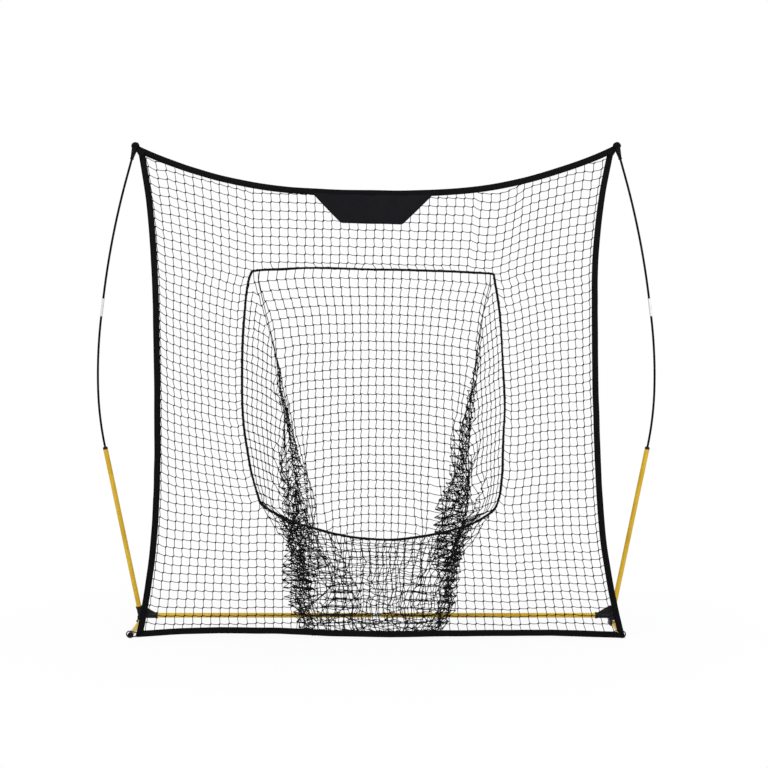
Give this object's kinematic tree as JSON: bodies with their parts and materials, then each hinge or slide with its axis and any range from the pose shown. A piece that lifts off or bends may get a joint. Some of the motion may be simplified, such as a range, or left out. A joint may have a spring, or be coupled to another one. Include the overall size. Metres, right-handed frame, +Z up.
{
  "type": "pitching target net",
  "caption": "Free-standing bow-framed practice net with an open target mouth and a hanging catch pocket, on a bar with fold-in feet",
  "frame": {"origin": "on the floor, at the middle of the footprint", "axes": "+X along the crossbar, +Y from the net's front to its back, +Z up"},
  "size_m": [2.5218, 0.7624, 2.1772],
  "materials": {
    "yellow_enamel": "satin",
    "bare_steel": "satin",
    "zinc_steel": "satin",
    "spring_steel": "satin",
    "moulded_nylon": "matte",
    "soft_plastic": "matte",
    "boot_rubber": "matte",
    "glass_fibre": "satin",
    "ferrule_metal": "satin",
    "net_twine": "matte",
    "pocket_twine": "matte",
    "webbing": "matte",
    "braided_rope": "matte",
    "coated_cloth": "matte",
    "elastic_cord": "matte"
  },
  "bodies": {
    "base": {"crossbar_left": "yellow_enamel", "crossbar_right": "yellow_enamel", "crossbar_joiner": "bare_steel", "button_spring": "spring_steel", "foot_hinge_pins": "zinc_steel", "mouth_rope": "braided_rope", "banner": "coated_cloth", "target_pocket": "pocket_twine", "pocket_floor": "pocket_twine", "pocket_front": "pocket_twine", "pocket_left": "pocket_twine", "pocket_right": "pocket_twine", "webbing_top": "webbing", "webbing_bottom": "webbing", "net_top": "net_twine", "net_bottom": "net_twine", "net_left": "net_twine", "net_right": "net_twine", "net_low_left": "net_twine", "net_low_right": "net_twine", "elbow_left": "moulded_nylon", "upright_left": "yellow_enamel", "upright_bush_left": "moulded_nylon", "pole_stop_left": "moulded_nylon", "webbing_left": "webbing", "corner_tab_left": "webbing", "corner_loop_left": "elastic_cord", "elbow_right": "moulded_nylon", "upright_right": "yellow_enamel", "upright_bush_right": "moulded_nylon", "pole_stop_right": "moulded_nylon", "webbing_right": "webbing", "corner_tab_right": "webbing", "corner_loop_right": "elastic_cord"},
    "button": {"snap_button": "zinc_steel"},
    "front_foot_left": {"front_foot_left": "yellow_enamel", "front_foot_eye_left": "moulded_nylon", "front_foot_cap_left": "soft_plastic"},
    "rear_foot_left": {"rear_foot_left": "yellow_enamel", "rear_foot_eye_left": "moulded_nylon", "rear_foot_cap_left": "soft_plastic"},
    "lower_pole_left": {"pole_lower_left": "glass_fibre", "pole_ferrule_left": "ferrule_metal"},
    "upper_pole_left": {"pole_upper_left": "glass_fibre", "pole_boot_left": "boot_rubber"},
    "front_foot_right": {"front_foot_right": "yellow_enamel", "front_foot_eye_right": "moulded_nylon", "front_foot_cap_right": "soft_plastic"},
    "rear_foot_right": {"rear_foot_right": "yellow_enamel", "rear_foot_eye_right": "moulded_nylon", "rear_foot_cap_right": "soft_plastic"},
    "lower_pole_right": {"pole_lower_right": "glass_fibre", "pole_ferrule_right": "ferrule_metal"},
    "upper_pole_right": {"pole_upper_right": "glass_fibre", "pole_boot_right": "boot_rubber"}
  },
  "joints": [
    {"name": "front_foot_left_fold", "type": "hinge", "parent": "base", "child": "front_foot_left", "pos_m": [-1.088, -0.038, 0.0121], "axis": [0, 0, 1], "range_deg": [0, 87.5]},
    {"name": "rear_foot_left_fold", "type": "hinge", "parent": "base", "child": "rear_foot_left", "pos_m": [-1.088, 0.038, 0.0121], "axis": [0, 0, -1], "range_deg": [0, 97]},
    {"name": "lower_pole_left_lift", "type": "slide", "parent": "base", "child": "lower_pole_left", "axis": [-0.1788, -0.142, 0.9736], "range_m": [0, 0.12], "deforming": ["corner_tab_left"]},
    {"name": "upper_pole_left_lift", "type": "slide", "parent": "lower_pole_left", "child": "upper_pole_left", "axis": [0.1426, -0.1429, 0.9794], "range_m": [0, 0.036], "deforming": ["corner_tab_left"]},
    {"name": "front_foot_right_fold", "type": "hinge", "parent": "base", "child": "front_foot_right", "pos_m": [1.088, -0.038, 0.0121], "axis": [0, 0, -1], "range_deg": [0, 87.5]},
    {"name": "rear_foot_right_fold", "type": "hinge", "parent": "base", "child": "rear_foot_right", "pos_m": [1.088, 0.038, 0.0121], "axis": [0, 0, 1], "range_deg": [0, 97]},
    {"name": "lower_pole_right_lift", "type": "slide", "parent": "base", "child": "lower_pole_right", "axis": [0.1788, -0.142, 0.9736], "range_m": [0, 0.12], "deforming": ["corner_tab_right"]},
    {"name": "upper_pole_right_lift", "type": "slide", "parent": "lower_pole_right", "child": "upper_pole_right", "axis": [-0.1426, -0.1429, 0.9794], "range_m": [0, 0.036], "deforming": ["corner_tab_right"]},
    {"name": "snap_button_press", "type": "slide", "parent": "base", "child": "button", "axis": [0, -1, 0], "range_m": [0, 0.0035], "stiffness_N_per_m": 600, "springref_m": -0.003, "deforming": ["button_spring"]}
  ]
}
